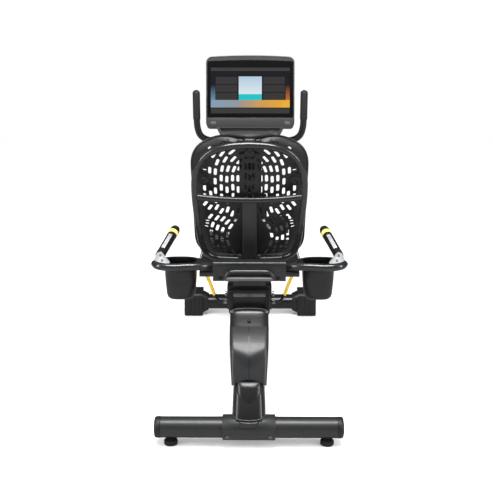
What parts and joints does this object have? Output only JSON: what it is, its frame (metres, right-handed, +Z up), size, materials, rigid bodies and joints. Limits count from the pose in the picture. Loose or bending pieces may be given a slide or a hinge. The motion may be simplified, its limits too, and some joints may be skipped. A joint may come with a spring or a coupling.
{
  "type": "recumbent exercise bike",
  "caption": "Recumbent exercise bike with a sliding high-back seat, side grips with cup wells, belt-driven crank and screen console on a curved mast.",
  "frame": {"origin": "on the floor under the middle of the bike", "axes": "+Z up, +Y the way the rider faces, +X to the rider's right"},
  "size_m": [0.7106, 1.571, 1.3336],
  "materials": {
    "frame_paint": "satin charcoal powder coat",
    "cast_metal": "satin cast aluminium",
    "flywheel_iron": "machined",
    "bright_steel": "machined",
    "black_plastic": "fine moulded texture",
    "gloss_plastic": "polished",
    "rubber": "matte",
    "upholstery": "matte vinyl over foam",
    "screen_glass": "polished display panel",
    "yellow_grip": "moulded yellow sleeve"
  },
  "bodies": {
    "frame": {"rear_stabiliser_tube": "frame_paint", "rear_neck": "frame_paint", "front_frame": "frame_paint", "front_stabiliser_tube": "frame_paint", "console_mast": "frame_paint", "seat_rail": "cast_metal", "crank_bearing_left": "bright_steel", "crank_bearing_right": "bright_steel", "rear_end_cap_left": "black_plastic", "rear_end_cap_right": "black_plastic", "neck_cover": "black_plastic", "column_cover_left": "black_plastic", "column_cover_right": "black_plastic", "column_top_panel": "black_plastic", "rail_end_cap": "black_plastic", "power_inlet": "black_plastic", "front_housing_left": "black_plastic", "front_housing_right": "black_plastic", "keypad_strip": "black_plastic", "accessory_tray": "black_plastic", "shroud_left": "gloss_plastic", "shroud_right": "gloss_plastic", "mast_cover": "gloss_plastic", "console_back_shell": "gloss_plastic", "console_bezel": "gloss_plastic", "drive_belt": "rubber", "console_handlebar": "rubber", "console_screen": "screen_glass"},
    "crank": {"crank_axle": "bright_steel", "crank_arm_left": "cast_metal", "crank_arm_right": "cast_metal", "drive_pulley": "cast_metal"},
    "left_pedal": {"pedal_left": "black_plastic"},
    "right_pedal": {"pedal_right": "black_plastic"},
    "rotor": {"generator_rotor": "flywheel_iron"},
    "idler": {"belt_idler": "black_plastic"},
    "left_wheel": {"transport_wheel_left": "rubber"},
    "right_wheel": {"transport_wheel_right": "rubber"},
    "left_foot": {"rear_foot_left": "rubber"},
    "right_foot": {"rear_foot_right": "rubber"},
    "left_button": {"console_button_left": "cast_metal"},
    "right_button": {"console_button_right": "cast_metal"},
    "seat": {"seat_cushion": "upholstery", "seat_pan": "black_plastic", "seat_frame": "frame_paint", "seat_carriage": "frame_paint", "seat_back_shell": "black_plastic", "seat_back_frame": "frame_paint", "seat_bracket": "frame_paint", "lift_handle": "frame_paint", "side_arm_left": "frame_paint", "side_arm_right": "frame_paint", "side_grip_left": "rubber", "side_grip_right": "rubber", "cup_holder_left": "black_plastic", "cup_holder_right": "black_plastic"},
    "left_lever": {"adjust_lever_left": "yellow_grip"},
    "right_lever": {"adjust_lever_right": "yellow_grip"},
    "left_pin": {"lock_pin_left": "bright_steel"},
    "right_pin": {"lock_pin_right": "bright_steel"}
  },
  "joints": [
    {"name": "crank_spin", "type": "hinge", "parent": "frame", "child": "crank", "pos_m": [0, 0.5805, 0.458], "axis": [1, 0, 0], "continuous": true},
    {"name": "left_pedal_spin", "type": "hinge", "parent": "crank", "child": "left_pedal", "pos_m": [-0.147, 0.4105, 0.458], "axis": [1, 0, 0], "continuous": true},
    {"name": "right_pedal_spin", "type": "hinge", "parent": "crank", "child": "right_pedal", "pos_m": [0.147, 0.7505, 0.458], "axis": [1, 0, 0], "continuous": true},
    {"name": "rotor_spin", "type": "hinge", "parent": "frame", "child": "rotor", "pos_m": [0, 0.6805, 0.25], "axis": [1, 0, 0], "continuous": true},
    {"name": "idler_spin", "type": "hinge", "parent": "frame", "child": "idler", "pos_m": [0.055, 0.59117, 0.26907], "axis": [1, 0, 0], "continuous": true},
    {"name": "left_wheel_roll", "type": "hinge", "parent": "frame", "child": "left_wheel", "pos_m": [-0.3, 0.7125, 0.038], "axis": [1, 0, 0], "continuous": true},
    {"name": "left_foot_turn", "type": "hinge", "parent": "frame", "child": "left_foot", "pos_m": [-0.282, -0.7395, 0.01], "axis": [0, 0, 1], "continuous": true},
    {"name": "left_button_press", "type": "slide", "parent": "frame", "child": "left_button", "axis": [0, 0.9781, -0.2079], "range_m": [0, 0.002], "stiffness_N_per_m": 300},
    {"name": "right_wheel_roll", "type": "hinge", "parent": "frame", "child": "right_wheel", "pos_m": [0.3, 0.7125, 0.038], "axis": [1, 0, 0], "continuous": true},
    {"name": "right_foot_turn", "type": "hinge", "parent": "frame", "child": "right_foot", "pos_m": [0.282, -0.7395, 0.01], "axis": [0, 0, 1], "continuous": true},
    {"name": "right_button_press", "type": "slide", "parent": "frame", "child": "right_button", "axis": [0, 0.9781, -0.2079], "range_m": [0, 0.002], "stiffness_N_per_m": 300},
    {"name": "seat_slide", "type": "slide", "parent": "frame", "child": "seat", "axis": [0, 0.9903, -0.1392], "range_m": [0, 0.24]},
    {"name": "left_lever_pull", "type": "hinge", "parent": "seat", "child": "left_lever", "pos_m": [-0.097, -0.3395, 0.405], "axis": [1, 0, 0], "range_deg": [0, 15], "stiffness_Nm_per_rad": 1.2},
    {"name": "left_pin_draw", "type": "slide", "parent": "seat", "child": "left_pin", "axis": [-1, 0, 0], "range_m": [0, 0.006]},
    {"name": "right_lever_pull", "type": "hinge", "parent": "seat", "child": "right_lever", "pos_m": [0.097, -0.3395, 0.405], "axis": [1, 0, 0], "range_deg": [0, 15], "stiffness_Nm_per_rad": 1.2},
    {"name": "right_pin_draw", "type": "slide", "parent": "seat", "child": "right_pin", "axis": [1, 0, 0], "range_m": [0, 0.006]}
  ],
  "couplings": [
    {"joint": "rotor_spin", "follows": "crank_spin", "ratio": 5.2273},
    {"joint": "idler_spin", "follows": "crank_spin", "ratio": -6.3889},
    {"joint": "left_pin_draw", "follows": "left_lever_pull", "m_per_rad": 0.0229},
    {"joint": "right_pin_draw", "follows": "right_lever_pull", "m_per_rad": 0.0229}
  ]
}
